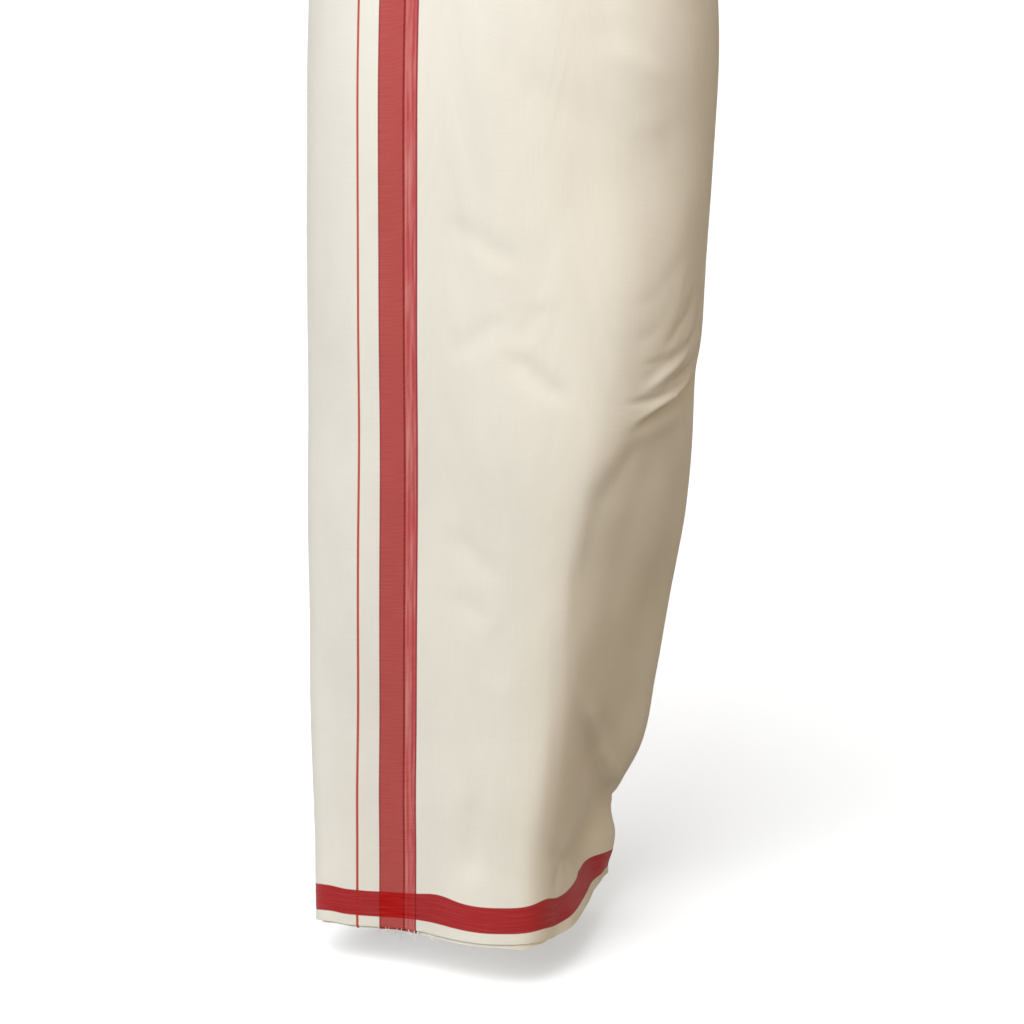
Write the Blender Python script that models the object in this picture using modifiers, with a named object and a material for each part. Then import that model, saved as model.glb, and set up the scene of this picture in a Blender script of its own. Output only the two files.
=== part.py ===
"""Wrapped dhoti cloth: one straight length wound about one and three quarter turns round the hips,
its top rolled outward into a ring, hanging to the ankles.

Metres, +Z up. The origin is the centre of the waist opening, the front faces -Y and the wearer's
left is +X. Sizes in the tables are millimetres."""

import math

import bpy
import numpy as np

MM = 0.001
WALL = 1.6          # one wound layer of the cloth, doubled lengthwise
LAYER_GAP = 0.5     # air between two layers
SEAM = 0.6          # gap on the outside where one stretch of the cloth is cut from the next
HIDDEN_SEAM = 1.4   # the same under the free edge, where the cloth bends more sharply
HEM = -997.0        # level of the outer hem at the front
STRAIGHT_TO = -900.0  # above this the rows are level; below it they follow the hem
UNDER_HEM = -1000.5   # the under turn hangs level and shows a little below the outer hem

# Guide lines that run down the cloth, in order round the body from the wearer's right hip across
# the front. BAND is the middle of the woven red band; RIDGE is the pressed front edge.
(LEFT, FRONT_LEFT, BAND, FRONT, RIDGE_FRONT, RIDGE, SIDE_FRONT, SIDE, CORNER,
 BACK_RIGHT, BACK, BACK_LEFT, LEFT_BACK) = range(13)
LINES = 13

# Where the stretches begin and end, as guide line number plus the part of the way to the next.
FREE_EDGE = LEFT_BACK + 0.5
FRONT_END = BACK_RIGHT + 0.5
BACK_END = LEFT_BACK + 0.75
INNER_EDGE = LINES + CORNER + 0.5
# Columns of the wall between each guide line and the next.
DIVISIONS = (5, 3, 4, 3, 3, 3, 3, 3, 4, 4, 3, 3, 4)

# Rings round the waist and hips: height, left and right reach, front and back reach.
HIP_RINGS = (
    (30, -155, 157, -110, 125),
    (-60, -165, 167, -121, 138),
    (-140, -175, 177, -131, 148),
    (-210, -178.5, 181, -135, 150),
    (-300, -180.5, 178, -136, 144),
)
# Angle of each guide line round those rings, in degrees from the left.
HIP_ANGLES = (3, 32, 57.3, 95, 113, 126, 150, 180, 210, 240, 270, 300, 330)

# Rings below the hips: height, then (x, y) of each guide line.
#  height  left        front_left  band        front       ridge_front ridge       side_front
LEG_RINGS_FRONT = (
    (-420, (-181, -8), (-152, -71), (-98, -111), (-2, -137), (66, -134), (103, -118), (146, -72)),
    (-540, (-182, -10), (-154, -67), (-98, -106), (-4, -137), (58, -137), (86, -124), (132, -76)),
    (-640, (-183, -14), (-156, -64), (-99, -100), (-8, -133), (42, -134), (63, -125), (102, -78)),
    (-720, (-182, -20), (-156, -61), (-100, -95), (-12, -129), (31, -131), (51, -121), (83, -74)),
    (-800, (-181, -26), (-155, -58), (-101, -89), (-16, -125), (23, -128), (42, -118), (71, -66)),
    (-875, (-178.5, -32), (-154, -56), (-102, -83), (-19, -123), (16, -126), (33, -115), (58, -66)),
    (-918, (-177, -36), (-153, -55), (-102, -80), (-21, -120), (12, -124), (29, -112), (50, -68)),
    (-1000, (-175, -42), (-152, -53), (-103, -76), (-25, -118), (10, -122), (27, -110), (45, -72)),
)
#  height  side        corner      back_right  back        back_left   left_back
LEG_RINGS_BACK = (
    (-420, (170, -5), (164, 62), (98, 113), (-2, 130), (-95, 114), (-161, 67)),
    (-540, (160, -12), (161, 55), (100, 103), (-4, 118), (-95, 104), (-161, 60)),
    (-640, (139, -18), (156, 50), (102, 100), (-4, 113), (-96, 100), (-163, 55)),
    (-720, (117, -10), (145, 62), (97, 106), (-2, 114), (-98, 101), (-165, 52)),
    (-800, (102, 0), (133, 74), (88, 111), (0, 117), (-102, 103), (-168, 48)),
    (-875, (86, 4), (118, 84), (80, 116), (0, 120), (-106, 104), (-168.5, 44)),
    (-918, (73, 2), (97, 94), (70, 120), (0, 122), (-110, 105), (-168.5, 41)),
    (-1000, (68, 0), (95, 104), (66, 125), (0, 124), (-116, 106), (-168.5, 36)),
)

# Height of the outer hem under each guide line, above its level at the front.
HEM_RISE = (-4, -5, -1, 0, 1, -1, -6, -10, -2, 4, 5, 3, -2)

# Rows of the wall below the roll, down to where the hem's own rise begins.
ROW_HEIGHTS = (-20.3, -65, -110, -155, -200, -240, -280, -320, -360, -390, -414, -436, -458, -480,
               -502, -526, -556, -590, -625, -660, -695, -730, -760, -786, -810, -834, -856, -878,
               -900)
HEM_ROWS = 6

# The largest folds: each runs from a start to an end, both given as the length along the cloth
# from the band and the height; depth is inward, so a ridge is negative; the last two are its half
# widths above and below.
#  start         end         depth  above  below
FOLDS = (
    (400, -480, 300, -486, 3.4, 26, 52),     # hollow behind the left knee
    (318, -422, 212, -452, 2.6, 12, 14),     # creases fanning from it across the knee
    (326, -466, 252, -478, -3.0, 13, 9),
    (330, -486, 240, -498, 4.2, 9, 16),
    (300, -545, 196, -588, 4.0, 20, 60),     # turn of the side panel below the knee
    (168, -762, 237, -824, -4.0, 28, 10),    # calf drape hanging over the fold beside the shin
    (237, -824, 331, -905, -4.0, 26, 10),
    (178, -786, 245, -850, 5.0, 10, 34),
    (245, -850, 306, -912, 4.0, 10, 30),
    (76, -872, 79, -960, 1.6, 12, 12),       # soft trough in the front near the hem
    (218, -996, 322, -992, 5.0, 34, 34),     # hem tucked in beside the shin
    (430, -300, 560, -262, 3.6, 18, 26),     # drapes under the seat
    (610, -270, 740, -318, 3.2, 18, 24),
    (470, -505, 640, -452, 4.4, 14, 26),     # creases behind the knees
    (520, -560, 690, -520, 3.4, 16, 24),
    (560, -620, 566, -985, 6.0, 26, 34),     # hanging folds down the back
    (690, -650, 696, -985, 4.0, 30, 24),
    (430, -760, 500, -840, 3.0, 18, 26),
)

# Outline of the rolled top across the ring: outward from the wall's face, height.
ROLL_OUTLINE = (
    (-6.2, -15.5), (-4.2, -19.6), (1.6, -20.0), (4.8, -16.5), (6.2, -8.0), (6.2, 0.0),
    (4.7, 4.5), (5.9, 9.0), (5.2, 16.0), (2.2, 21.2), (-2.4, 22.0), (-6.0, 18.2), (-7.0, 8.0),
    (-7.0, -6.0),
)
ROLL_STEP = 2.0     # the roll is one turn of cloth thicker after the free edge than before it


def down_the_cloth(heights, values, at):
    """Values given at some heights, smoothly joined and read at other heights."""
    heights = np.asarray(heights, float)[::-1]
    values = np.asarray(values, float)[::-1]
    slopes = np.gradient(values, heights, axis=0)
    at = np.clip(np.asarray(at, float), heights[0], heights[-1])
    k = np.clip(np.searchsorted(heights, at, side="right") - 1, 0, len(heights) - 2)
    step = heights[k + 1] - heights[k]
    f = ((at - heights[k]) / step)
    f, step = f[..., None, None], step[..., None, None]
    return ((2 * f**3 - 3 * f**2 + 1) * values[k] + (f**3 - 2 * f**2 + f) * step * slopes[k]
            + (3 * f**2 - 2 * f**3) * values[k + 1] + (f**3 - f**2) * step * slopes[k + 1])


def hip_ring(left, right, front, back):
    """Guide line points on an oval with these four reaches."""
    points = []
    for degrees in HIP_ANGLES:
        a = math.radians(degrees)
        x, y = -math.cos(a), -math.sin(a)
        middle = (front + back) / 2
        points.append((x * (right if x > 0 else -left), middle + y * (back - front) / 2))
    return points


def all_rings():
    heights = [row[0] for row in HIP_RINGS] + [row[0] for row in LEG_RINGS_FRONT]
    rings = [hip_ring(*row[1:]) for row in HIP_RINGS]
    rings += [list(front[1:]) + list(back[1:])
              for front, back in zip(LEG_RINGS_FRONT, LEG_RINGS_BACK)]
    return heights, rings


RING_HEIGHTS, RINGS = all_rings()


def ring_curve(guides, turn):
    """Point on the ring at a place round it, on a smooth curve through the guide points."""
    turn = np.mod(turn, LINES)
    k = np.floor(turn).astype(int)
    f = (turn - k)[..., None]
    index = np.arange(len(turn))
    p0, p1, p2, p3 = (guides[index, (k + step) % LINES] for step in (-1, 0, 1, 2))
    d0, d1, d2 = (np.sqrt(np.linalg.norm(b - a, axis=-1))[..., None]
                  for a, b in ((p0, p1), (p1, p2), (p2, p3)))
    m1 = d1 * ((p1 - p0) / d0 - (p2 - p0) / (d0 + d1) + (p2 - p1) / d1)
    m2 = d1 * ((p2 - p1) / d1 - (p3 - p1) / (d1 + d2) + (p3 - p2) / d2)
    return ((2 * f**3 - 3 * f**2 + 1) * p1 + (f**3 - 2 * f**2 + f) * m1
            + (3 * f**2 - 2 * f**3) * p2 + (f**3 - f**2) * m2)


def lengths_along():
    """Length along the cloth from the band to each sampled place, at each sampled height."""
    turns = np.linspace(0, LINES, LINES * SAMPLES + 1)
    lengths = []
    for height in SAMPLE_HEIGHTS:
        guides = down_the_cloth(RING_HEIGHTS, RINGS, np.full(len(turns), height))
        steps = np.linalg.norm(np.diff(ring_curve(guides, turns), axis=0), axis=1)
        total = np.concatenate([[0], np.cumsum(steps)])
        lengths.append(total - total[BAND * SAMPLES])
    return np.array(lengths)


SAMPLES = 8
SAMPLE_HEIGHTS = np.arange(40, -1021, -20.0)
LENGTHS = lengths_along()


def length_at(turn, height):
    """Length along the cloth from the band, read between the samples."""
    j = np.clip((SAMPLE_HEIGHTS[0] - height) / 20, 0, len(SAMPLE_HEIGHTS) - 1.001)
    i = np.clip(np.mod(turn, LINES) * SAMPLES, 0, LINES * SAMPLES - 0.001)
    j0, i0 = j.astype(int), i.astype(int)
    fj, fi = j - j0, i - i0
    return ((1 - fj) * ((1 - fi) * LENGTHS[j0, i0] + fi * LENGTHS[j0, i0 + 1])
            + fj * ((1 - fi) * LENGTHS[j0 + 1, i0] + fi * LENGTHS[j0 + 1, i0 + 1]))


def fold_depth(turn, height):
    """How far the folds press the cloth inward here."""
    depth = np.zeros_like(height)
    length = length_at(turn, height)
    for x0, z0, x1, z1, deep, above, below in FOLDS:
        size = math.hypot(x1 - x0, z1 - z0)
        ux, uz = (x1 - x0) / size, (z1 - z0) / size
        along = (length - x0) * ux + (height - z0) * uz
        past = along - np.clip(along, 0, size)
        across = (height - z0) * abs(ux) - (length - x0) * uz * np.sign(ux)
        wide = np.where(across > 0, above, below)
        reach = (above + below) / 2
        depth += deep * np.exp(-(across / wide) ** 2 - (past / reach) ** 2)
    return depth


def folded_face(turn, height):
    """Points of the outer face of the cloth, folds and all, and the direction round the ring."""
    guides = down_the_cloth(RING_HEIGHTS, RINGS, height)
    point = ring_curve(guides, turn)
    along = ring_curve(guides, turn + 0.02) - ring_curve(guides, turn - 0.02)
    along /= np.linalg.norm(along, axis=-1)[:, None]
    outward = np.stack([along[:, 1], -along[:, 0]], axis=-1)
    point = point - outward * fold_depth(turn, height)[:, None]
    flat = np.zeros((len(turn), 1))
    return np.append(point, height[:, None], axis=1), np.append(along, flat, axis=1)


def cloth_face(turn, height, inward):
    """Points this far inward of the cloth's outer face, and the direction round the ring."""
    turn, height = np.broadcast_arrays(np.asarray(turn, float), np.asarray(height, float))
    shape = turn.shape
    inward = np.broadcast_to(np.asarray(inward, float), shape).ravel()
    turn, height = turn.ravel(), height.ravel()
    point, along = folded_face(turn, height)
    round_it = folded_face(turn + 0.03, height)[0] - folded_face(turn - 0.03, height)[0]
    up_it = folded_face(turn, height + 4.0)[0] - folded_face(turn, height - 4.0)[0]
    outward = np.cross(round_it, up_it)
    outward /= np.linalg.norm(outward, axis=-1)[:, None]
    point = point - outward * inward[:, None]
    return point.reshape(*shape, 3), along.reshape(*shape, 3)


def columns_between(start, end):
    """Places of the wall's columns from start to end."""
    places = [k + lap * LINES + step / DIVISIONS[k]
              for lap in (0, 1, 2) for k in range(LINES) for step in range(DIVISIONS[k])]
    return np.array([start] + [p for p in places if start + 1e-6 < p < end - 1e-6] + [end])


def outer_hem(turn):
    return HEM + np.interp(np.mod(turn, LINES), range(LINES + 1), HEM_RISE + (HEM_RISE[0],))


def under_hem(turn):
    return np.full(len(turn), UNDER_HEM)


def row_heights(turn, hem):
    """Heights of the rows at these columns, the last at the hem: rows by columns."""
    rows = [np.full(len(turn), h) for h in ROW_HEIGHTS]
    rows += [STRAIGHT_TO + (hem - STRAIGHT_TO) * (k + 1) / HEM_ROWS for k in range(HEM_ROWS)]
    return np.array(rows)


def cloth_material(name, colour):
    """Woven cloth: matt, no metal."""
    material = bpy.data.materials.new(name)
    material.use_nodes = True
    shader = material.node_tree.nodes["Principled BSDF"]
    shader.inputs["Base Color"].default_value = (*colour, 1)
    shader.inputs["Roughness"].default_value = 0.75
    shader.inputs["Metallic"].default_value = 0
    material.diffuse_color = (*colour, 1)
    return material


def add_solid(name, points, faces, colour):
    mesh = bpy.data.meshes.new(name)
    mesh.from_pydata((np.asarray(points) * MM).tolist(), [], faces)
    mesh.materials.append(cloth_material(name, colour))
    mesh.shade_smooth()
    solid = bpy.data.objects.new(name, mesh)
    dhoti.objects.link(solid)
    return solid


def grid_faces(rows, columns):
    """Faces of a grid of points that runs down and round, seen from outside."""
    return [(j * columns + i, (j + 1) * columns + i, (j + 1) * columns + i + 1, j * columns + i + 1)
            for j in range(rows - 1) for i in range(columns - 1)]


def cloth_wall(name, start, end, inward, hem, colour, cut_start=0.0, cut_end=0.0):
    """One stretch of the cloth: an open surface given its thickness. Inward is the depth of its
    outer face at each column; cut_start and cut_end shorten its ends at a seam."""
    turn = columns_between(start, end)
    heights = row_heights(turn, hem(turn))
    face, along = cloth_face(turn, heights, np.broadcast_to(inward(turn), heights.shape))
    face[:, 0] += along[:, 0] * cut_start
    face[:, -1] -= along[:, -1] * cut_end
    wall = add_solid(name, face.reshape(-1, 3), grid_faces(*heights.shape), colour)
    thick = wall.modifiers.new("wall", "SOLIDIFY")
    thick.thickness = WALL * MM
    thick.offset = -1
    thick.use_even_offset = True
    return wall


def front_wrap():
    """Outer turn, from the free edge at the wearer's right across the front to the left back."""
    return cloth_wall("front_wrap", FREE_EDGE, LINES + FRONT_END, lambda turn: 0 * turn, outer_hem,
                      (0.82, 0.76, 0.64), cut_end=SEAM / 2)


def back_wrap():
    """The stretch round the back, which passes under the free edge."""

    def inward(turn):
        part = np.clip((turn - BACK) / (LEFT_BACK + 0.25 - BACK), 0, 1)
        return (WALL + LAYER_GAP) * part * part * (3 - 2 * part)

    return cloth_wall("back_wrap", FRONT_END, BACK_END, inward, outer_hem,
                      (0.78, 0.72, 0.60), cut_start=SEAM / 2, cut_end=HIDDEN_SEAM / 2)


def under_wrap():
    """The first turn, under the front, to the cloth's inner end at the left back."""
    return cloth_wall("under_wrap", BACK_END, INNER_EDGE, lambda turn: 0 * turn + WALL + LAYER_GAP,
                      under_hem, (0.74, 0.68, 0.56), cut_start=HIDDEN_SEAM / 2)


def waist_roll():
    """The top of the cloth rolled outward on itself, one ring with a step at the free edge."""
    turn = columns_between(FREE_EDGE, FREE_EDGE + LINES - 0.04)
    count = len(turn)
    thinner = ROLL_STEP * (turn - turn[0]) / LINES
    points = []
    for out, height in ROLL_OUTLINE:
        share = np.clip(out / 6.0, 0, 1)
        ring, _ = cloth_face(turn, np.full(count, float(height)), -out + thinner * share)
        points.append(ring)
    points = np.array(points)
    rim = len(ROLL_OUTLINE)
    faces = [(j * count + i, j * count + (i + 1) % count,
              (j + 1) % rim * count + (i + 1) % count, (j + 1) % rim * count + i)
             for j in range(rim) for i in range(count)]
    return add_solid("waist_roll", points.reshape(-1, 3), faces, (0.84, 0.78, 0.66))


for leftover in list(bpy.data.objects):
    bpy.data.objects.remove(leftover)
dhoti = bpy.data.collections.new("wrapped_dhoti_cloth")
bpy.context.scene.collection.children.link(dhoti)
front_wrap()
back_wrap()
under_wrap()
waist_roll()
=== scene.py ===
"""A wrapped dhoti cloth: cream art silk with woven red borders, worn as an ankle-length wrap."""

import math

import bpy
import numpy as np
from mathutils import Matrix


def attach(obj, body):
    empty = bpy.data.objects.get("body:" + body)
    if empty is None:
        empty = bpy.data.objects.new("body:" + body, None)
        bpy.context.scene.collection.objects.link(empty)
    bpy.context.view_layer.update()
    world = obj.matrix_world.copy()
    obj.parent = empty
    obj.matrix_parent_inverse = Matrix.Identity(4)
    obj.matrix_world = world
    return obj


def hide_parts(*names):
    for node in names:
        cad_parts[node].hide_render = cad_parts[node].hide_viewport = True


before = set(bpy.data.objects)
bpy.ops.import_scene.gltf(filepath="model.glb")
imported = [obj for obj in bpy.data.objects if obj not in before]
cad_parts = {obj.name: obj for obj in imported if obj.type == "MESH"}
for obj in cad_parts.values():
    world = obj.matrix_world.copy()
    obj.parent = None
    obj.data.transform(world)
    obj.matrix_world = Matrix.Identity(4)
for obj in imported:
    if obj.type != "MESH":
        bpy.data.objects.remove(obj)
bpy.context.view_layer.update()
MM = 0.001

# The lie of the wound cloth.
# The dhoti is one straight length of art silk off the loom, wound about one and three quarter
# turns. These rings are the outer face of the winding at several heights, each through thirteen
# guide lines that run down the cloth, and all its stretches follow them. Millimetres.
(LEFT, FRONT_LEFT, BAND, FRONT, RIDGE_FRONT, RIDGE, SIDE_FRONT, SIDE, CORNER,
 BACK_RIGHT, BACK, BACK_LEFT, LEFT_BACK) = range(13)
LINES = 13
#    height  left  right  front  back
HIP_RINGS = (
    (30, -155, 157, -110, 125),
    (-60, -165, 167, -121, 138),
    (-140, -175, 177, -131, 148),
    (-210, -178.5, 181, -135, 150),
    (-300, -180.5, 178, -136, 144),
)
# Where the guide lines cross the oval rings, in degrees from the left, the front way round.
HIP_ANGLES = (3, 32, 57.3, 95, 113, 126, 150, 180, 210, 240, 270, 300, 330)
#  height  left        front_left  band        front       ridge_front ridge       side_front
LEG_RINGS_FRONT = (
    (-420, (-181, -8), (-152, -71), (-98, -111), (-2, -137), (66, -134), (103, -118), (146, -72)),
    (-540, (-182, -10), (-154, -67), (-98, -106), (-4, -137), (58, -137), (86, -124), (132, -76)),
    (-640, (-183, -14), (-156, -64), (-99, -100), (-8, -133), (42, -134), (63, -125), (102, -78)),
    (-720, (-182, -20), (-156, -61), (-100, -95), (-12, -129), (31, -131), (51, -121), (83, -74)),
    (-800, (-181, -26), (-155, -58), (-101, -89), (-16, -125), (23, -128), (42, -118), (71, -66)),
    (-875, (-178.5, -32), (-154, -56), (-102, -83), (-19, -123), (16, -126), (33, -115), (58, -66)),
    (-918, (-177, -36), (-153, -55), (-102, -80), (-21, -120), (12, -124), (29, -112), (50, -68)),
    (-1000, (-175, -42), (-152, -53), (-103, -76), (-25, -118), (10, -122), (27, -110), (45, -72)),
)
#  height  side        corner      back_right  back        back_left   left_back
LEG_RINGS_BACK = (
    (-420, (170, -5), (164, 62), (98, 113), (-2, 130), (-95, 114), (-161, 67)),
    (-540, (160, -12), (161, 55), (100, 103), (-4, 118), (-95, 104), (-161, 60)),
    (-640, (139, -18), (156, 50), (102, 100), (-4, 113), (-96, 100), (-163, 55)),
    (-720, (117, -10), (145, 62), (97, 106), (-2, 114), (-98, 101), (-165, 52)),
    (-800, (102, 0), (133, 74), (88, 111), (0, 117), (-102, 103), (-168, 48)),
    (-875, (86, 4), (118, 84), (80, 116), (0, 120), (-106, 104), (-168.5, 44)),
    (-918, (73, 2), (97, 94), (70, 120), (0, 122), (-110, 105), (-168.5, 41)),
    (-1000, (68, 0), (95, 104), (66, 125), (0, 124), (-116, 106), (-168.5, 36)),
)


def hip_ring(left, right, front, back):
    """Guide line points on an oval with these four reaches."""
    points = []
    for degrees in HIP_ANGLES:
        a = math.radians(degrees)
        x, y = -math.cos(a), -math.sin(a)
        points.append((x * (right if x > 0 else -left), (front + back) / 2 + y * (back - front) / 2))
    return points


RING_HEIGHTS = [row[0] for row in HIP_RINGS] + [row[0] for row in LEG_RINGS_FRONT]
RINGS = [hip_ring(*row[1:]) for row in HIP_RINGS]
RINGS += [list(a[1:]) + list(b[1:]) for a, b in zip(LEG_RINGS_FRONT, LEG_RINGS_BACK)]


def down_the_cloth(heights, values, at):
    """Values given at some heights, smoothly joined and read at other heights."""
    heights = np.asarray(heights, float)[::-1]
    values = np.asarray(values, float)[::-1]
    slopes = np.gradient(values, heights, axis=0)
    at = np.clip(np.asarray(at, float), heights[0], heights[-1])
    k = np.clip(np.searchsorted(heights, at, side="right") - 1, 0, len(heights) - 2)
    step = heights[k + 1] - heights[k]
    f = (at - heights[k]) / step
    f, step = f[..., None, None], step[..., None, None]
    return ((2 * f**3 - 3 * f**2 + 1) * values[k] + (f**3 - 2 * f**2 + f) * step * slopes[k]
            + (3 * f**2 - 2 * f**3) * values[k + 1] + (f**3 - f**2) * step * slopes[k + 1])


def ring_curve(guides, turn):
    """Point on the ring at a place round it, on a smooth curve through the guide points."""
    turn = np.mod(turn, LINES)
    k = np.floor(turn).astype(int)
    f = (turn - k)[..., None]
    index = np.arange(len(turn))
    p0, p1, p2, p3 = (guides[index, (k + step) % LINES] for step in (-1, 0, 1, 2))
    d0, d1, d2 = (np.sqrt(np.linalg.norm(b - a, axis=-1))[..., None]
                  for a, b in ((p0, p1), (p1, p2), (p2, p3)))
    m1 = d1 * ((p1 - p0) / d0 - (p2 - p0) / (d0 + d1) + (p2 - p1) / d1)
    m2 = d1 * ((p2 - p1) / d1 - (p3 - p1) / (d1 + d2) + (p3 - p2) / d2)
    return ((2 * f**3 - 3 * f**2 + 1) * p1 + (f**3 - 2 * f**2 + f) * m1
            + (3 * f**2 - 2 * f**3) * p2 + (f**3 - f**2) * m2)


SAMPLES = 16            # between two guide lines
SAMPLE_STEP = 10.0      # down the cloth
SAMPLE_HEIGHTS = np.arange(40, -1021, -SAMPLE_STEP)
SAMPLE_TURNS = np.linspace(0, LINES, LINES * SAMPLES + 1)


def lengths_along():
    """Length along the cloth from the band's middle to each sampled place and height."""
    lengths = []
    for height in SAMPLE_HEIGHTS:
        guides = down_the_cloth(RING_HEIGHTS, RINGS, np.full(len(SAMPLE_TURNS), height))
        steps = np.linalg.norm(np.diff(ring_curve(guides, SAMPLE_TURNS), axis=0), axis=1)
        total = np.concatenate([[0], np.cumsum(steps)])
        lengths.append(total - total[BAND * SAMPLES])
    return np.array(lengths)


LENGTHS = lengths_along()
AROUND = LENGTHS[:, -1] - LENGTHS[:, 0]


def length_at(turn, height):
    """Length along the cloth from the band within its turn, and the length of the turns before it."""
    lap = np.floor(turn / LINES)
    j = np.clip((SAMPLE_HEIGHTS[0] - height) / SAMPLE_STEP, 0, len(SAMPLE_HEIGHTS) - 1.001)
    i = np.clip(np.mod(turn, LINES) * SAMPLES, 0, LINES * SAMPLES - 0.001)
    j0, i0 = j.astype(int), i.astype(int)
    fj, fi = j - j0, i - i0
    here = ((1 - fj) * ((1 - fi) * LENGTHS[j0, i0] + fi * LENGTHS[j0, i0 + 1])
            + fj * ((1 - fi) * LENGTHS[j0 + 1, i0] + fi * LENGTHS[j0 + 1, i0 + 1]))
    return here, lap * ((1 - fj) * AROUND[j0] + fj * AROUND[j0 + 1])


# Creases and folds.
# Troughs and ridges that wearing has put in the cloth. Each runs through places given as length
# along the cloth from the band, and height. Its depth is inward, so a ridge is negative, and its
# half widths are above and below it, or to the left and right of one that runs down.
#    depth  above  below  route
FOLDS = (
    # Side hollow at knee height.
    (3.4, 24, 46, ((480, -494), (420, -502), (350, -508), (262, -510))),
    # Upper creases of the fan across it.
    (0.5, 7, 9, ((296, -372), (265, -390), (235, -415), (198, -428))),
    (-0.8, 6, 6, ((276, -392), (272, -415), (265, -436), (236, -454))),
    (1.3, 3, 5, ((306, -418), (289, -438), (270, -449), (246, -469))),
    (0.5, 5, 6, ((272, -434), (242, -446), (205, -454))),
    # Small folds between them, and the fan's deeper creases.
    (1.0, 2.5, 4, ((338, -432), (318, -452), (306, -470))),
    (-1.0, 2.5, 3, ((330, -484), (322, -474), (322, -460))),
    (0.9, 2.5, 3.5, ((286, -476), (276, -490), (262, -496))),
    (-1.2, 3.5, 3, ((316, -428), (302, -452), (290, -466), (268, -472))),
    (1.5, 3, 7, ((330, -450), (298, -464), (253, -476), (214, -490))),
    (-1.9, 4, 3, ((308, -466), (280, -481), (256, -488), (220, -502))),
    (2.6, 3, 5, ((352, -474), (324, -487), (284, -493), (244, -503))),
    (1.8, 3, 5, ((306, -498), (272, -504), (244, -506), (200, -506))),
    (-2.4, 4, 3, ((344, -494), (301, -505), (258, -513), (210, -526))),
    (4.2, 3, 16, ((356, -496), (318, -508), (248, -520), (206, -536))),
    (-0.9, 3, 3, ((300, -404), (288, -418), (270, -430))),
    (1.2, 2.5, 4, ((262, -466), (240, -474), (222, -474))),
    # Turn of the side panel.
    (5.4, 19, 46, ((340, -540), (226, -556), (190, -594), (176, -660), (170, -740))),
    # Its flat middle.
    (2.4, 26, 46, ((268, -530), (250, -590), (236, -650), (226, -730))),
    # Drape across the side.
    (-2.8, 9, 6, ((172, -752), (196, -788), (230, -824), (259, -850), (307, -890), (362, -930))),
    (3.8, 7, 22, ((168, -768), (200, -806), (247, -852), (290, -892), (338, -930), (390, -950))),
    (1.4, 7, 4, ((214, -762), (228, -790), (254, -826), (297, -862), (340, -890))),
    # Small creases near the hem.
    (1.3, 9, 8, ((150, -908), (176, -934), (168, -966))),
    (1.4, 9, 8, ((205, -925), (246, -956), (250, -984))),
    (-1.0, 8, 8, ((168, -905), (208, -934), (222, -972))),
    # Faint diagonals on the front.
    (1.1, 8, 11, ((40, -342), (65, -355), (97, -375), (112, -388))),
    (1.4, 7, 11, ((94, -454), (118, -472), (145, -495), (156, -506))),
    (0.8, 9, 12, ((102, -426), (75, -442), (46, -464))),
    (0.8, 6, 9, ((136, -412), (119, -430), (104, -450))),
    (0.9, 8, 11, ((44, -616), (69, -635), (96, -660))),
    (0.8, 7, 8, ((50, -674), (68, -685), (84, -702))),
    (0.9, 8, 7, ((97, -690), (96, -725), (98, -768))),
    (1.8, 9, 8, ((78, -850), (77, -895), (72, -950))),
    (0.9, 16, 20, ((66, -198), (114, -230), (150, -250), (196, -280))),
    (-0.9, 8, 10, ((165, -198), (203, -210), (256, -236))),
    (-0.6, 6, 7, ((204, -258), (222, -265), (242, -272))),
    # Turn of the upper side, and a crease at its foot.
    (-5.5, 46, 50, ((224, 60), (224, -60), (226, -180), (226, -320))),
    (0.8, 14, 16, ((230, -250), (262, -300), (268, -350))),
    # Pressed lines of the ironed cloth.
    (0.8, 5, 4, ((141, -430), (149, -640), (149, -780), (151, -960))),
    (0.8, 4, 5, ((155, -470), (161, -642), (162, -800))),
    (-0.7, 12, 12, ((112, -520), (116, -640), (118, -760))),
    # Drapes below the hips, behind.
    (3.6, 18, 26, ((400, -296), (470, -268), (590, -268))),
    (3.2, 18, 24, ((580, -262), (670, -300), (760, -310))),
    (2.2, 14, 18, ((420, -366), (520, -346), (620, -372), (700, -360))),
    # Creases at knee height, behind.
    (4.4, 14, 26, ((440, -512), (550, -486), (670, -444))),
    (-2.0, 10, 8, ((450, -528), (540, -504), (630, -470))),
    (3.4, 16, 24, ((490, -566), (600, -548), (720, -506))),
    (2.2, 9, 14, ((620, -468), (690, -490), (750, -496))),
    # Hanging folds down the back.
    (6.0, 26, 34, ((560, -560), (562, -720), (566, -880), (566, -1080))),
    (4.0, 30, 24, ((690, -590), (694, -740), (696, -900), (696, -1080))),
    (3.0, 18, 26, ((400, -740), (460, -790), (520, -870))),
    (2.0, 14, 14, ((620, -640), (628, -780), (632, -1060))),
    # Hem tucked in at the side.
    (6.0, 16, 22, ((296, -1002), (340, -998), (380, -994), (450, -985))),
    # A last small fold over it, and the notch above.
    (-2.6, 13, 18, ((322, -956), (354, -960), (430, -962))),
    (4.0, 3.5, 6.5, ((300, -888), (338, -912), (362, -929), (400, -936))),
    # Hem flaring before the tuck, and the shallow trough above.
    (3.5, 16, 18, ((168, -934), (215, -940), (262, -942), (306, -940))),
    (-5.0, 24, 40, ((160, -1008), (215, -1008), (262, -1006), (304, -1002))),
    # Shaded hollow over the tuck.
    (6.5, 22, 46, ((226, -790), (258, -870), (288, -930), (300, -1010))),
)
FADE = 0.3          # part of a crease's run over which it fades at each end
NARROWED = 0.45     # part of its width that it loses there


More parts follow.
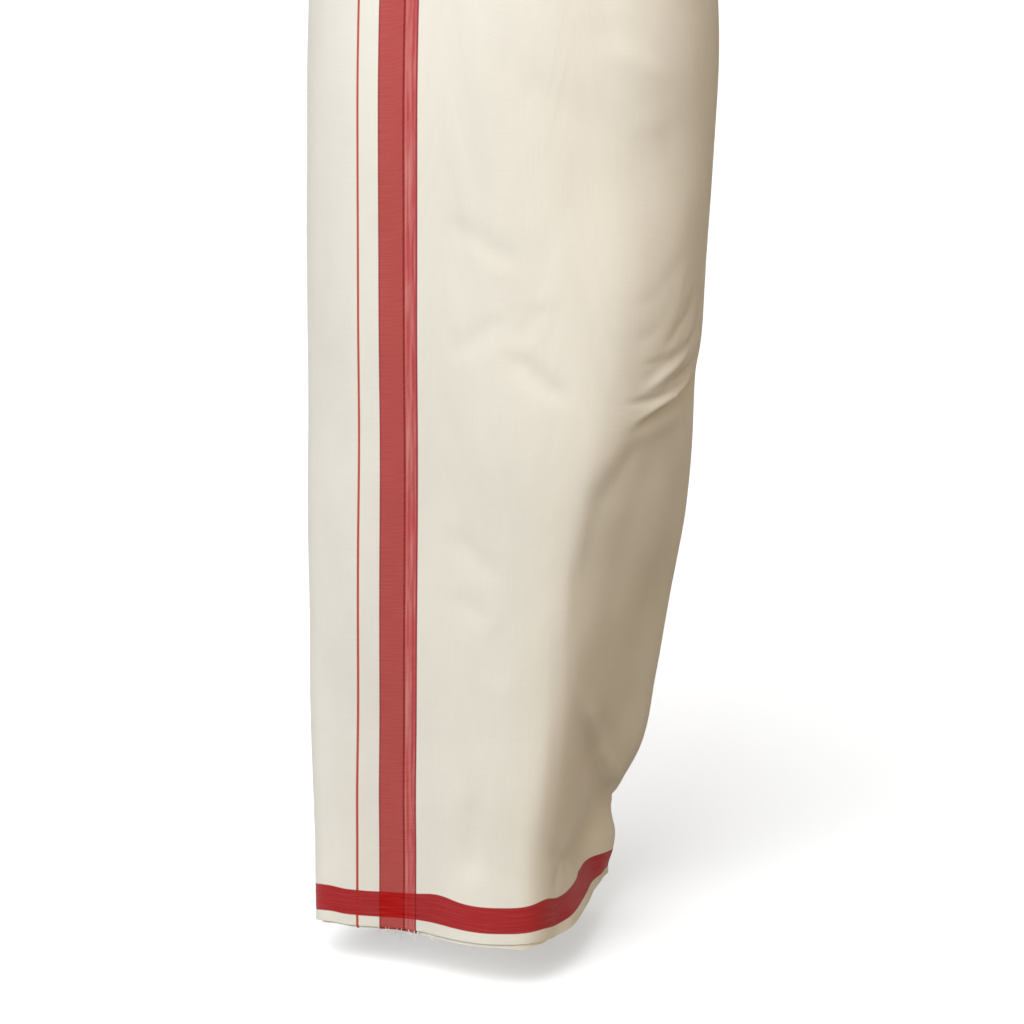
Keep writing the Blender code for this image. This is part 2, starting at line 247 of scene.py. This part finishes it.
def fold_depth(turn, height):
    """How far the folds press the cloth inward here."""
    depth = np.zeros_like(height)
    length, _ = length_at(turn, height)
    for deep, above, below, route in FOLDS:
        route = np.array(route, float)
        runs = np.linalg.norm(np.diff(route, axis=0), axis=1)
        lowest, highest = route[:, 1].min(), route[:, 1].max()
        reach = 3 * max(above, below)
        near = np.flatnonzero((height > lowest - reach) & (height < highest + reach))
        x, z = length[near], height[near]
        nearest = np.full(len(near), np.inf)
        share, across = np.zeros(len(near)), np.zeros(len(near))
        for k, ((x0, z0), (x1, z1)) in enumerate(zip(route, route[1:])):
            ux, uz = (x1 - x0) / runs[k], (z1 - z0) / runs[k]
            along = np.clip((x - x0) * ux + (z - z0) * uz, 0, runs[k])
            dx, dz = x - x0 - along * ux, z - z0 - along * uz
            apart = np.hypot(dx, dz)
            closer = apart < nearest
            nearest = np.where(closer, apart, nearest)
            share = np.where(closer, (runs[:k].sum() + along) / runs.sum(), share)
            side = dz * abs(ux) - dx * uz * (1 if ux > 0 else -1)
            across = np.where(closer, np.sign(side) * apart, across)
        ends = np.clip(np.minimum(share, 1 - share) / FADE, 0, 1)
        ends = ends * ends * (3 - 2 * ends)
        wide = np.where(across > 0, above, below) * (1 - NARROWED + NARROWED * ends)
        depth[near] += deep * ends * np.exp(-(across / wide) ** 2)
    return depth


UNEVENNESS = 0.5            # depth of the slow waves
FLUTES_FROM = -700.0        # the flutes grow down from here
FLUTES_FULL = -1000.0       # to their full depth here


def lie_depth(turn, height):
    """Slow unevenness of hand-wrapped cloth, with soft flutes that grow towards the hem."""
    length, _ = length_at(turn, height)
    # Crossed waves, with lengths in millimetres that don't fall into step.
    slow = (np.sin(length / 47 + height / 91) * np.sin(height / 63 - length / 120)
            + 0.6 * np.sin(length / 29 - height / 150 + 1.3) * np.sin(height / 108 + 0.4))
    near_hem = np.clip((FLUTES_FROM - height) / (FLUTES_FROM - FLUTES_FULL), 0, 1) ** 2
    flutes = np.sin(length / 21.0 + 0.8) * 0.6 + np.sin(length / 12.5 + 2.0) * 0.3
    return UNEVENNESS * slow + near_hem * flutes


NEAR_TURN = 0.02        # steps over which the direction of a ring is read,
WIDER_TURN = 0.03       # and of the folded face
NEAR_HEIGHT = 3.0


def folded_face(turn, height):
    """Points of the outer face of the cloth, folds and all."""
    guides = down_the_cloth(RING_HEIGHTS, RINGS, height)
    point = ring_curve(guides, turn)
    along = ring_curve(guides, turn + NEAR_TURN) - ring_curve(guides, turn - NEAR_TURN)
    along /= np.linalg.norm(along, axis=-1)[:, None]
    outward = np.stack([along[:, 1], -along[:, 0]], axis=-1)
    depth = fold_depth(turn, height) + lie_depth(turn, height)
    return np.append(point - outward * depth[:, None], height[:, None], axis=1)


def cloth_face(turn, height, inward):
    """Points this far inward of the cloth's outer face, in millimetres."""
    turn, height = np.broadcast_arrays(np.asarray(turn, float), np.asarray(height, float))
    shape = turn.shape
    inward = np.broadcast_to(np.asarray(inward, float), shape).ravel()
    turn, height = turn.ravel(), height.ravel()
    round_it = folded_face(turn + WIDER_TURN, height) - folded_face(turn - WIDER_TURN, height)
    up_it = folded_face(turn, height + NEAR_HEIGHT) - folded_face(turn, height - NEAR_HEIGHT)
    outward = np.cross(round_it, up_it)
    outward /= np.linalg.norm(outward, axis=-1)[:, None]
    return (folded_face(turn, height) - outward * inward[:, None]).reshape(*shape, 3)


# Woven art silk.
# A plain weave of fine cream rayon yarn, ironed flat, which gives the eye a dull silky sheen. Red
# weft makes the band and the line beside it, red warp makes the band along the hem, and where
# they cross no cream yarn is left and the red is deeper.
def linear(hex_colour):
    """An sRGB colour as Blender's linear red, green, blue and alpha."""
    parts = [int(hex_colour[i:i + 2], 16) / 255 for i in (1, 3, 5)]
    return (*(c / 12.92 if c <= 0.04045 else ((c + 0.055) / 1.055) ** 2.4 for c in parts), 1)


def add_node(tree, kind, inputs=(), **settings):
    """Adds a shader node; each input is a value, or the socket that feeds it."""
    node = tree.nodes.new(kind)
    for name, value in settings.items():
        setattr(node, name, value)
    for name, value in dict(inputs).items():
        if isinstance(value, bpy.types.NodeSocket):
            tree.links.new(value, node.inputs[name])
        else:
            node.inputs[name].default_value = value
    return node


STRIPE_EDGE = 0.25      # a stripe turns to the next over 0.5 mm, about one real yarn


def ramp_of(tree, position, low, high, stops):
    """Colours that step along the cloth, each from its start in millimetres."""
    place = add_node(tree, "ShaderNodeMapRange", {"Value": position, "From Min": low * MM,
                                                  "From Max": high * MM})
    ramp = add_node(tree, "ShaderNodeValToRGB", {"Fac": place.outputs["Result"]})
    elements = ramp.color_ramp.elements
    elements.remove(elements[-1])
    elements[0].color = linear(stops[0][1])
    for (_, before), (start, colour) in zip(stops, stops[1:]):
        elements.new((start - STRIPE_EDGE - low) / (high - low)).color = linear(before)
        elements.new((start + STRIPE_EDGE - low) / (high - low)).color = linear(colour)
    return ramp.outputs["Color"]


CREAM = "#ECE5D8"
SHOWING_WARP = "#E3A79C"    # cream warp seen between picks of red weft
# Start of each colour across the weft band, from its middle. The free edge is to the left.
#    from   on cream   over the hem band
WEFT_STRIPES = (
    (-60.0, CREAM, "#A8282B"),
    (-42.2, "#BE4A38", "#B02221"),
    (-39.7, CREAM, "#A8282B"),
    (-19.0, "#96383A", "#960202"),
    (-17.6, "#B44D49", "#AE0000"),
    (4.9, "#8E2628", "#940304"),
    (6.9, "#C6605C", "#B41F1C"),
    (9.0, "#BA4D4C", "#AA1113"),
    (11.2, "#C45957", "#B01819"),
    (13.6, "#B44648", "#A61012"),
    (15.4, "#BC5052", "#AC181B"),
    (17.2, "#93323A", "#8C1016"),
    (18.6, CREAM, "#A8282B"),
)
# How loose the red weft lies, from black to white. The cream warp shows there in long patches.
LOOSE_WEFT = (
    (-60.0, "#000000"),
    (-16.0, "#202020"),
    (4.9, "#000000"),
    (7.4, "#FFFFFF"),
    (16.6, "#000000"),
)
STRIPES_FROM, STRIPES_TO = -60, 30
HEM_BAND_LOW, HEM_BAND_HIGH = 10.0, 34.5    # above the hem
HEM_BAND_EDGE = 0.4
# The real yarns are about 0.4 mm apart, too fine to show, so they are drawn 1 mm apart.
YARN_WAVES = 314.0
SLUBS_LOW, SLUBS_HIGH = 0.7, 1.3     # range of the two noises added


def woven_art_silk():
    material = bpy.data.materials.new("woven_art_silk")
    material.use_nodes = True
    tree = material.node_tree
    shader = tree.nodes["Principled BSDF"]
    place = add_node(tree, "ShaderNodeUVMap", uv_map="cloth")
    axes = add_node(tree, "ShaderNodeSeparateXYZ", {"Vector": place.outputs["UV"]})
    along, up = axes.outputs["X"], axes.outputs["Y"]

    on_cream = ramp_of(tree, along, STRIPES_FROM, STRIPES_TO, [(a, b) for a, b, c in WEFT_STRIPES])
    over_hem = ramp_of(tree, along, STRIPES_FROM, STRIPES_TO, [(a, c) for a, b, c in WEFT_STRIPES])
    low = add_node(tree, "ShaderNodeMapRange", {"Value": up,
                                                "From Min": (HEM_BAND_LOW - HEM_BAND_EDGE) * MM,
                                                "From Max": (HEM_BAND_LOW + HEM_BAND_EDGE) * MM})
    high = add_node(tree, "ShaderNodeMapRange", {"Value": up,
                                                 "From Min": (HEM_BAND_HIGH + HEM_BAND_EDGE) * MM,
                                                 "From Max": (HEM_BAND_HIGH - HEM_BAND_EDGE) * MM})
    in_hem = add_node(tree, "ShaderNodeMath", {0: low.outputs[0], 1: high.outputs[0]},
                      operation="MULTIPLY")
    dyed = add_node(tree, "ShaderNodeMix", {"Factor": in_hem.outputs[0], 6: on_cream, 7: over_hem},
                    data_type="RGBA")

    # Slubs: yarns a little thicker or paler than the rest, about 1 mm apart, along both ways.
    def streaks(per_m_along, per_m_up, seed):
        stretched = add_node(tree, "ShaderNodeMapping", {"Vector": place.outputs["UV"],
                                                         "Scale": (per_m_along, per_m_up, 1),
                                                         "Location": (seed, seed * 0.7, 0)})
        return add_node(tree, "ShaderNodeTexNoise", {"Vector": stretched.outputs[0], "Scale": 1.0,
                                                     "Detail": 3.0, "Roughness": 0.6}).outputs["Fac"]

    warp = streaks(per_m_along=28, per_m_up=900, seed=3.1)
    weft = streaks(per_m_along=1100, per_m_up=22, seed=8.7)
    slubs = add_node(tree, "ShaderNodeMath", {0: warp, 1: weft}, operation="ADD")
    slub_shade = add_node(tree, "ShaderNodeMapRange", {"Value": slubs.outputs[0],
                                                       "From Min": SLUBS_LOW, "From Max": SLUBS_HIGH,
                                                       "To Min": 0.975, "To Max": 1.02})
    # The cream warp shows through the red weft as fine level streaks.
    redness = add_node(tree, "ShaderNodeSeparateColor", {"Color": dyed.outputs[2]})
    paler = add_node(tree, "ShaderNodeMapRange", {"Value": redness.outputs["Green"], "From Min": 0.45,
                                                  "From Max": 0.1, "To Min": 0.0, "To Max": 0.07})
    streak = add_node(tree, "ShaderNodeMapRange", {"Value": warp, "From Min": 0.42, "From Max": 0.72})
    show = add_node(tree, "ShaderNodeMath", {0: paler.outputs[0], 1: streak.outputs[0]},
                    operation="MULTIPLY")
    streaked = add_node(tree, "ShaderNodeMix", {"Factor": show.outputs[0], 6: dyed.outputs[2],
                                                7: linear(SHOWING_WARP)}, data_type="RGBA")
    # Where the weft lies loose the warp shows in long upright patches, but hardly over the hem band.
    loose = ramp_of(tree, along, STRIPES_FROM, STRIPES_TO, LOOSE_WEFT)
    gaps = streaks(per_m_along=210, per_m_up=13, seed=5.3)
    patch = add_node(tree, "ShaderNodeMapRange", {"Value": gaps, "From Min": 0.44, "From Max": 0.68,
                                                  "To Min": 0.0, "To Max": 0.42})
    off_hem = add_node(tree, "ShaderNodeMapRange", {"Value": in_hem.outputs[0], "To Min": 1.0,
                                                    "To Max": 0.15})
    patches = add_node(tree, "ShaderNodeMath", {0: patch.outputs[0], 1: off_hem.outputs[0]},
                       operation="MULTIPLY")
    thin = add_node(tree, "ShaderNodeMath", {0: loose, 1: patches.outputs[0]}, operation="MULTIPLY")
    patched = add_node(tree, "ShaderNodeMix", {"Factor": thin.outputs[0], 6: streaked.outputs[2],
                                               7: linear(SHOWING_WARP)}, data_type="RGBA")
    # Faint clouds about 100 mm across, where the cloth is a little paler or darker.
    cloudiness = streaks(per_m_along=13, per_m_up=8, seed=1.9)
    clouds = add_node(tree, "ShaderNodeMapRange", {"Value": cloudiness, "From Min": 0.42,
                                                   "From Max": 0.66, "To Min": 1.01, "To Max": 0.968})
    shade = add_node(tree, "ShaderNodeMath", {0: slub_shade.outputs[0], 1: clouds.outputs[0]},
                     operation="MULTIPLY")
    shaded = add_node(tree, "ShaderNodeVectorMath", {0: patched.outputs[2],
                                                     "Scale": shade.outputs[0]}, operation="SCALE")
    tree.links.new(shaded.outputs[0], shader.inputs["Base Color"])

    # Bump: the weave itself, the slubs, and slight puckers about 25 mm across in the wrapped cloth.
    waves = [add_node(tree, "ShaderNodeTexWave", {"Vector": place.outputs["UV"], "Scale": YARN_WAVES,
                                                  "Distortion": 0.6, "Detail": 1.0},
                      bands_direction=direction).outputs["Fac"] for direction in ("X", "Y")]
    weave = add_node(tree, "ShaderNodeMath", {0: waves[0], 1: waves[1]}, operation="MAXIMUM")
    pucker = add_node(tree, "ShaderNodeTexNoise", {"Vector": place.outputs["UV"], "Scale": 38.0,
                                                   "Detail": 2.0, "Roughness": 0.5})
    fine = add_node(tree, "ShaderNodeBump", {"Height": weave.outputs[0], "Strength": 0.20,
                                             "Distance": 0.1 * MM})
    slub = add_node(tree, "ShaderNodeBump", {"Height": slubs.outputs[0], "Strength": 0.10,
                                             "Distance": 0.2 * MM, "Normal": fine.outputs[0]})
    soft = add_node(tree, "ShaderNodeBump", {"Height": pucker.outputs["Fac"], "Strength": 0.20,
                                             "Distance": 1.8 * MM, "Normal": slub.outputs[0]})
    tree.links.new(soft.outputs[0], shader.inputs["Normal"])
    rough = add_node(tree, "ShaderNodeMapRange", {"Value": slubs.outputs[0], "From Min": SLUBS_LOW,
                                                  "From Max": SLUBS_HIGH, "To Min": 0.66,
                                                  "To Max": 0.52})
    tree.links.new(rough.outputs[0], shader.inputs["Roughness"])
    shader.inputs["Specular IOR Level"].default_value = 0.12
    shader.inputs["Sheen Weight"].default_value = 0.06
    shader.inputs["Sheen Roughness"].default_value = 0.45
    shader.inputs["Sheen Tint"].default_value = linear("#F6EEDD")
    return material


ART_SILK = woven_art_silk()


# The three stretches of the wound cloth.
# Thin shells of two plies, all of one length and never cut or sewn: the front turn with the free
# edge, the stretch round the back that goes under that edge, and the first turn beneath, whose
# hem shows a few millimetres below the outer one.
FREE_EDGE = LEFT_BACK + 0.5
FRONT_END = BACK_RIGHT + 0.5
BACK_END = LEFT_BACK + 0.75
UNDER_START = LINES + LEFT - 0.25
INNER_EDGE = LINES + CORNER + 0.5
THICK = 0.7             # two plies
LAYER = 1.3             # from one wound layer's face to the next
WALL_TOP = -18.0        # inside the rolled top
HEM = -997.0            # the outer hem at the front
UNDER_HEM = -1001.0     # the under one there
# Levels of the two hems at places round the cloth, above those at the front.
HEM_LINE = (
    (0, -5.2), (0.5, -3.8), (1, -5.2), (1.5, -3.6), (2, -1.0), (2.25, 0.6), (2.5, -1.0),
    (2.75, -1.1), (3, -0.6), (3.5, 0.6), (4, 0.9), (4.5, 0.4), (5, -0.6), (5.5, -4.0), (6, -4.2),
    (6.5, -4.6), (7, -1.2), (7.5, -0.2), (7.75, -4.0), (8, -8.0), (8.5, -1.0), (9, 4.0), (10, 5.0),
    (11, 3.0), (12, -3.0), (12.5, -9.0), (12.8, -9.0), (13, -5.2),
)
UNDER_HEM_LINE = (
    (0, -2.4), (1.3, -2.4), (1.9, 0), (5.1, 0), (5.9, 5.0), (8.1, 5.0), (8.6, 0),
)
# Where the hem is pulled down on the bias, or gathered up: length, half width, share.
DRAWN = (
    (42, 20, -0.12),
    (152, 20, -0.12),
    (350, 55, 0.36),
)
STEP = 6.3              # mesh spacing
UNDER_STEP = 8.0
FINE = 0.42             # share of it where the creases are small
CREASED_LENGTH, CREASED_HALF_LENGTH = 280, 100
CREASED_HEIGHT, CREASED_HALF_HEIGHT = -470, 90
CREASED_BELOW = -890
TRIALS = 800            # evenly spaced places that the mesh's own are picked from,
TRIAL_HEIGHT = -600.0   # and the height at which their lengths are read
CRISP_FOLD = math.radians(50)


def outer_hem(turns):
    """Level of the outer hem, which sags between its supports as a hand-wrapped edge does."""
    places, rises = zip(*HEM_LINE)
    around = np.mod(turns, LINES)
    smoothed = [np.interp(around + shift, places, rises, period=LINES) for shift in (-0.1, 0, 0.1)]
    return HEM + sum(smoothed) / len(smoothed)


def under_hem(turns):
    """Level of the under hem, which lifts where the outer one is tucked in over it."""
    places, rises = zip(*UNDER_HEM_LINE)
    return UNDER_HEM + 0.6 * np.sin(turns * 4.7) + np.interp(np.mod(turns, LINES), places, rises)


def spread_out(distance, places, creased, step):
    """Places about a step apart, closer where the cloth is creased."""
    density = np.where(creased, 1 / FINE, 1.0)
    steps = np.cumsum(np.diff(distance) * (density[1:] + density[:-1]) / 2)
    count = np.concatenate([[0], steps]) / step
    return np.interp(np.linspace(0, count[-1], int(count[-1]) + 2), count, places)


def cloth_piece(name, points, faces, threads):
    """A piece of the cloth, its points in metres and its threads' directions in the UV map."""
    mesh = bpy.data.meshes.new(name)
    mesh.from_pydata(points.tolist(), [], faces)
    corners = np.empty(len(mesh.loops), dtype=np.int32)
    mesh.loops.foreach_get("vertex_index", corners)
    mesh.uv_layers.new(name="cloth").data.foreach_set("uv", threads[corners].ravel())
    mesh.materials.append(ART_SILK)
    piece = bpy.data.objects.new(name, mesh)
    bpy.context.scene.collection.objects.link(piece)
    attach(piece, "root")
    return piece


def wound_stretch(name, start, end, inward, hem_line, step):
    """A stretch from one place round the cloth to another, this far inside the outer face."""
    trial_turns = np.linspace(start, end, TRIALS)
    here, lap = length_at(trial_turns, np.full(TRIALS, TRIAL_HEIGHT))
    creased = np.abs(here + lap - CREASED_LENGTH) < CREASED_HALF_LENGTH
    turns = spread_out(here + lap, trial_turns, creased, step)
    trial_heights = np.linspace(WALL_TOP, HEM, TRIALS)
    creased = np.abs(trial_heights - CREASED_HEIGHT) < CREASED_HALF_HEIGHT
    creased |= trial_heights < CREASED_BELOW
    shares = spread_out(WALL_TOP - trial_heights, np.linspace(0, 1, TRIALS), creased, step)
    hem = hem_line(turns)
    heights = WALL_TOP + (hem - WALL_TOP) * shares[:, None]
    grid_turns = np.broadcast_to(turns, heights.shape)
    points = cloth_face(grid_turns, heights, inward(turns)).reshape(-1, 3) * MM
    rows, columns = heights.shape
    faces = [(j * columns + i, (j + 1) * columns + i, (j + 1) * columns + i + 1, j * columns + i + 1)
             for j in range(rows - 1) for i in range(columns - 1)]

    # The threads run along and up the cloth, from the weft band's middle and from the hem.
    along, _ = length_at(grid_turns.ravel(), heights.ravel())
    drawn = 1 + sum(share * np.exp(-((along - place) / wide) ** 2) for place, wide, share in DRAWN)
    if end > LINES:
        around = np.interp(heights.ravel(), SAMPLE_HEIGHTS[::-1], AROUND[::-1])
        along = along - around * (grid_turns.ravel() < LINES)
    threads = np.stack([along, (heights - hem).ravel() * drawn], axis=1) * MM
    stretch = cloth_piece(name, points, faces, threads)
    stretch.data.shade_smooth()
    plies = stretch.modifiers.new("two plies", "SOLIDIFY")
    plies.thickness = THICK * MM
    plies.offset = -1
    stretch.modifiers.new("crisp hem", "EDGE_SPLIT").split_angle = CRISP_FOLD
    return stretch


def going_under(turns):
    """Depth of the back stretch, which goes in by a layer on its way under the free edge."""
    share = np.clip((turns - BACK) / (LEFT_BACK + 0.25 - BACK), 0, 1)
    return LAYER * share * share * (3 - 2 * share)


front = wound_stretch("front_wrap_cloth", FREE_EDGE, LINES + FRONT_END, np.zeros_like, outer_hem, STEP)
back = wound_stretch("back_wrap_cloth", FRONT_END, BACK_END, going_under, outer_hem, STEP)
under = wound_stretch("under_wrap_cloth", UNDER_START, INNER_EDGE,
                      lambda turns: np.full_like(turns, LAYER), under_hem, UNDER_STEP)
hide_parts("front_wrap")
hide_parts("back_wrap")
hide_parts("under_wrap")

# Frayed ends.
# Single cream yarns that have worked loose from the hem where the weft band meets it. They hang a
# few millimetres below the edge, and are drawn 1 mm thick so that they show.
#    place  length  drift
FRAYED_ENDS = (
    (1.20, 4, 1.0),
    (1.66, 8, -1.5),
    (1.78, 11, 3.5),
    (1.84, 7, -2.6),
    (1.98, 9, -3.0),
    (2.04, 13, -1.2),
    (2.12, 9, 3.0),
    (2.19, 12, 1.0),
    (2.26, 6, -2.0),
    (2.36, 8, 2.8),
    (2.52, 5, 1.2),
)
YARN_RADIUS = 0.5
YARN_SIDES = 3
YARN_PARTS = 3
ROOT_UP, ROOT_IN = 1.0, 0.5     # where a yarn leaves the cloth, from the hem's outer edge
PLACE_WIDTH = 50                # from one guide line to the next there
CREAM_PLACE = (-50, 4)          # a cream place on the cloth, for the colour


def frayed_ends():
    points, faces = [], []
    for place, length, drift in FRAYED_ENDS:
        hem = float(outer_hem(np.array([place]))[0])
        for k in range(YARN_PARTS + 1):
            share = k / YARN_PARTS
            turn = place + drift * share * share / PLACE_WIDTH
            x, y, z = cloth_face(turn, hem + ROOT_UP, ROOT_IN) - (0, 0, length * share)
            radius = YARN_RADIUS * (1 - 0.5 * share)
            for side in range(YARN_SIDES):
                a = side * math.tau / YARN_SIDES
                points.append((x + radius * math.cos(a), y + radius * math.sin(a), z))
            if k:
                low = len(points) - YARN_SIDES
                faces += [(low - YARN_SIDES + i, low - YARN_SIDES + (i + 1) % YARN_SIDES,
                           low + (i + 1) % YARN_SIDES, low + i) for i in range(YARN_SIDES)]
    threads = np.tile(np.array(CREAM_PLACE) * MM, (len(points), 1))
    return cloth_piece("frayed_thread_ends", np.array(points) * MM, faces, threads)


frayed_ends()

# The rolled top.
# The upper edge of all the layers together, rolled outward on itself to grip the waist: a soft
# uneven ring with the laps of the roll showing, a step thicker after the free edge.
#    outward  up
ROLL_OUTLINE = (
    (-6.2, -15.5), (-4.2, -19.6), (1.6, -20.0), (4.8, -16.5), (6.2, -8.0), (6.2, 0.0),
    (4.7, 4.5), (5.9, 9.0), (5.2, 16.0), (2.2, 21.2), (-2.4, 22.0), (-6.0, 18.2), (-7.0, 8.0),
    (-7.0, -6.0),
)
ROLL_REACH = 6.0        # the outline's own reach outward
ROLL_STEP = 2.0         # the roll is this much thinner at the end of the turn
ROLL_PLACES = 200
ROLL_GAP = 0.04         # left at the free edge
ROLL_THREADS = 0.9      # metres up the cloth, well above the hem band


def rolled_top():
    turns = np.linspace(FREE_EDGE, FREE_EDGE + LINES - ROLL_GAP, ROLL_PLACES)
    points, threads = [], []
    for out, height in ROLL_OUTLINE:
        # The outer side is a little lumpy, and the whole roll rises and falls slightly.
        share = np.clip(out / ROLL_REACH, 0, 1)
        thinner = ROLL_STEP * (turns - turns[0]) / LINES
        lumps = 0.5 * np.sin(turns * 5.1 + height / 9) + 0.35 * np.sin(turns * 11.3 - height / 5)
        heights = height + 0.8 * np.sin(turns * 2.3)
        points.append(cloth_face(turns, heights, (thinner + lumps) * share - out))
        here, _ = length_at(np.mod(turns, LINES), heights)
        threads.append(np.stack([here * MM, np.full(ROLL_PLACES, ROLL_THREADS + height * MM)], axis=1))
    rim, n = len(ROLL_OUTLINE), ROLL_PLACES
    faces = [(j * n + i, j * n + (i + 1) % n, (j + 1) % rim * n + (i + 1) % n, (j + 1) % rim * n + i)
             for j in range(rim) for i in range(n)]
    rolled = cloth_piece("waist_roll_cloth", np.array(points).reshape(-1, 3) * MM, faces,
                         np.array(threads).reshape(-1, 2))
    rolled.data.shade_smooth()
    rounded = rolled.modifiers.new("soft", "SUBSURF")
    rounded.levels = rounded.render_levels = 1
    return rolled


roll = rolled_top()
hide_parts("waist_roll")

# The floor, the light and the camera.
# A plain pale floor below the hem. Soft studio light: a large key from the front left, weak fills
# from above and from both sides, a little warmth from the right, and a panel over the camera.
# The camera looks down on the cloth as the photograph does. Metres and degrees.
FLOOR_Z = -1.045
#    name  strength  colour  towards the left  up  spread
LAMPS = (
    ("key", 2.32, "#FBFDFF", 28, 40, 50),
    ("overhead", 0.50, "#FAFCFF", 0, 85, 70),
    ("left_fill", 1.14, "#FFFEFC", 100, 14, 26),
    ("right_fill", 1.02, "#FFF3D6", -44, 13, 24),
    ("warm_side", 0.20, "#FFAE60", -78, 10, 18),
)
PANEL_WATTS = 13.5
PANEL_WIDTH = 0.8
PANEL_PLACE = (-0.4, -1.65, 0.8)
PANEL_TILT, PANEL_TURN = 56, -13.5
ROOM_LIGHT = 0.03
CAMERA_PLACE = (0, -3.21, 0.141)
LOOKING_DOWN = 13.5
LENS, SENSOR = 129.0, 36    # millimetres


def pale_floor():
    bpy.ops.mesh.primitive_plane_add(size=60, location=(0, 10, FLOOR_Z))
    floor = bpy.context.object
    floor.name = "floor"
    material = bpy.data.materials.new("pale_paper")
    material.use_nodes = True
    shader = material.node_tree.nodes["Principled BSDF"]
    shader.inputs["Base Color"].default_value = linear("#F4F4F4")
    shader.inputs["Roughness"].default_value = 0.9
    shader.inputs["Specular IOR Level"].default_value = 0.0
    shader.inputs["Emission Color"].default_value = linear("#FFFFFF")
    shader.inputs["Emission Strength"].default_value = 0.42
    floor.data.materials.append(material)
    floor.visible_diffuse = False


def add_lamp(name, kind, strength, colour, turn):
    """A lamp turned by these angles in degrees."""
    lamp = bpy.data.lights.new(name, kind)
    lamp.energy = strength
    lamp.color = linear(colour)[:3]
    light = bpy.data.objects.new(name, lamp)
    light.rotation_euler = [math.radians(angle) for angle in turn]
    bpy.context.scene.collection.objects.link(light)
    return light


pale_floor()
for name, strength, colour, from_left, height, spread in LAMPS:
    sun = add_lamp(name, "SUN", strength, colour, (90 - height, 0, -from_left))
    sun.data.angle = math.radians(spread)
panel = add_lamp("upper_fill", "AREA", PANEL_WATTS, "#EFF6FF", (PANEL_TILT, 0, PANEL_TURN))
panel.data.size = PANEL_WIDTH
panel.location = PANEL_PLACE
panel.visible_camera = False
world = bpy.data.worlds.new("dim room")
world.use_nodes = True
world.node_tree.nodes["Background"].inputs["Strength"].default_value = ROOM_LIGHT
bpy.context.scene.world = world
bpy.context.scene.view_settings.view_transform = "Standard"

camera_data = bpy.data.cameras.new("camera")
camera_data.sensor_width = SENSOR
camera_data.lens = LENS
camera = bpy.data.objects.new("camera", camera_data)
camera.location = CAMERA_PLACE
camera.rotation_euler = (math.radians(90 - LOOKING_DOWN), 0, 0)
bpy.context.scene.collection.objects.link(camera)
bpy.context.scene.camera = camera
